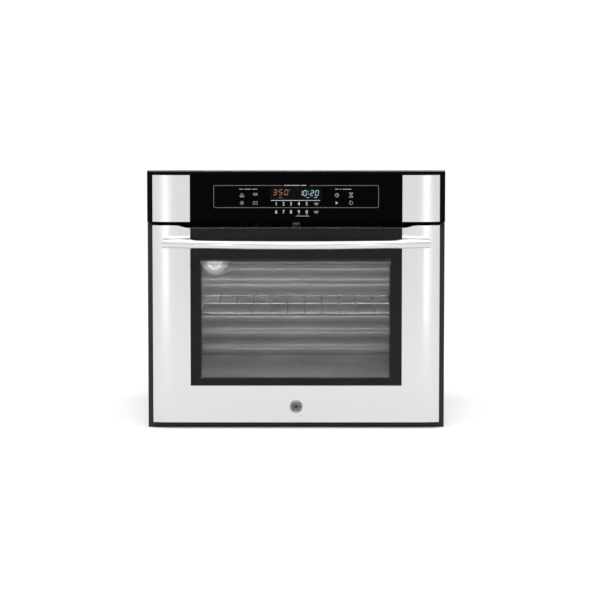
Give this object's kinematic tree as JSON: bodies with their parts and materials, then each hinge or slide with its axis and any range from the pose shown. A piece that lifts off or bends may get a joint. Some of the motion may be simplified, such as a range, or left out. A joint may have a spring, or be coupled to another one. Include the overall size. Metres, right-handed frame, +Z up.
{
  "type": "wall oven",
  "caption": "Built-in electric wall oven with touch-glass control front, windowed drop-down door, bowed handle, two wire racks and black trims.",
  "frame": {"origin": "on the underside of the base pan, at the middle of its width, in the plane of the cabinet face that the front frame bears on", "axes": "+Z up, +Y back into the cabinet, +X to the viewer's right; the door faces -Y"},
  "size_m": [0.7556, 0.7504, 0.657],
  "materials": {
    "stainless": "fine horizontal brushing",
    "black_trim": "satin black paint",
    "housing_black": "gloss black paint",
    "control_glass": "black-backed touch glass",
    "door_glass": "tinted glass with a printed black border",
    "clear_glass": "clear heat-resisting glass",
    "galvanised": "galvanised sheet",
    "zinc": "zinc plated",
    "spring_steel": "oiled spring wire",
    "porcelain": "speckled blue-grey porcelain enamel",
    "insulation": "glass-fibre wool",
    "gasket": "woven glass-fibre seal",
    "element": "dark oxidised sheath",
    "rack_chrome": "bright plated wire",
    "lamp_metal": "pressed can",
    "black_plastic": "moulded",
    "motor_metal": "motor case",
    "circuit_board": "board with components",
    "badge": "dark enamel with a plain ring"
  },
  "bodies": {
    "chassis": {"end_cap_left": "stainless", "end_cap_right": "stainless", "side_trim_left": "black_trim", "side_trim_right": "black_trim", "bottom_trim": "black_trim", "front_frame": "black_trim", "control_surround": "housing_black", "control_glass": "control_glass", "lamp_lens": "clear_glass", "lamp_bulb": "clear_glass", "base_pan": "galvanised", "side_panel_left": "galvanised", "side_panel_right": "galvanised", "rear_panel": "galvanised", "top_panel": "galvanised", "cooling_duct": "galvanised", "blower_housing": "galvanised", "terminal_box": "galvanised", "vent_tube": "galvanised", "hinge_receiver_left": "galvanised", "hinge_receiver_right": "galvanised", "latch_bracket": "galvanised", "chassis_screws": "zinc", "conduit_gland": "zinc", "hinge_arm_left": "zinc", "hinge_arm_right": "zinc", "oven_liner": "porcelain", "liner_back": "porcelain", "insulation_blanket": "insulation", "door_gasket": "gasket", "bake_element": "element", "broil_element": "element", "temperature_sensor": "element", "lamp_socket": "lamp_metal", "door_switch": "black_plastic", "blower_motor": "motor_metal", "latch_motor": "motor_metal", "relay_board": "circuit_board", "control_board": "circuit_board"},
    "door": {"door_skin": "stainless", "door_glass": "door_glass", "door_liner": "porcelain", "door_glass_middle": "clear_glass", "door_glass_inner": "clear_glass", "glass_frame": "galvanised", "door_insulation": "insulation", "handle_bar": "stainless", "handle_post_left": "stainless", "handle_post_right": "stainless", "badge": "badge", "hinge_channel_left": "zinc", "hinge_channel_right": "zinc", "door_screws": "zinc", "hinge_springs": "spring_steel"},
    "hinge_rods": {"hinge_followers": "zinc"},
    "upper_rack": {"rack_upper": "rack_chrome"},
    "lower_rack": {"rack_lower": "rack_chrome"},
    "latch": {"latch_hook": "zinc"},
    "plunger": {"switch_plunger": "black_plastic"},
    "blower": {"blower_wheel": "black_plastic"}
  },
  "joints": [
    {"name": "door_hinge", "type": "hinge", "parent": "chassis", "child": "door", "pos_m": [0, -0.038, 0.023], "axis": [1, 0, 0], "range_deg": [0, 90], "stiffness_Nm_per_rad": 14, "springref_deg": -17.19},
    {"name": "hinge_rod_slide", "type": "slide", "parent": "door", "child": "hinge_rods", "axis": [0, 0, 1], "range_m": [0, 0.00401], "deforming": ["hinge_springs"]},
    {"name": "upper_rack_slide", "type": "slide", "parent": "chassis", "child": "upper_rack", "axis": [0, -1, 0], "range_m": [0, 0.3145]},
    {"name": "lower_rack_slide", "type": "slide", "parent": "chassis", "child": "lower_rack", "axis": [0, -1, 0], "range_m": [0, 0.3145]},
    {"name": "latch_turn", "type": "hinge", "parent": "chassis", "child": "latch", "pos_m": [0, 0.022, 0.52465], "axis": [1, 0, 0], "range_deg": [0, 9.5]},
    {"name": "plunger_slide", "type": "slide", "parent": "chassis", "child": "plunger", "axis": [0, -1, 0], "range_m": [0, 0.00401]},
    {"name": "blower_spin", "type": "hinge", "parent": "chassis", "child": "blower", "pos_m": [0.19, 0.337, 0.52], "axis": [0, 0, 1], "continuous": true}
  ],
  "couplings": [
    {"joint": "hinge_rod_slide", "follows": "door_hinge", "m_per_rad": 0.0025465},
    {"joint": "upper_rack_slide", "follows": "door_hinge", "m_per_rad": 0.2},
    {"joint": "lower_rack_slide", "follows": "door_hinge", "m_per_rad": 0.2},
    {"joint": "plunger_slide", "follows": "door_hinge", "m_per_rad": 0.0025465}
  ]
}
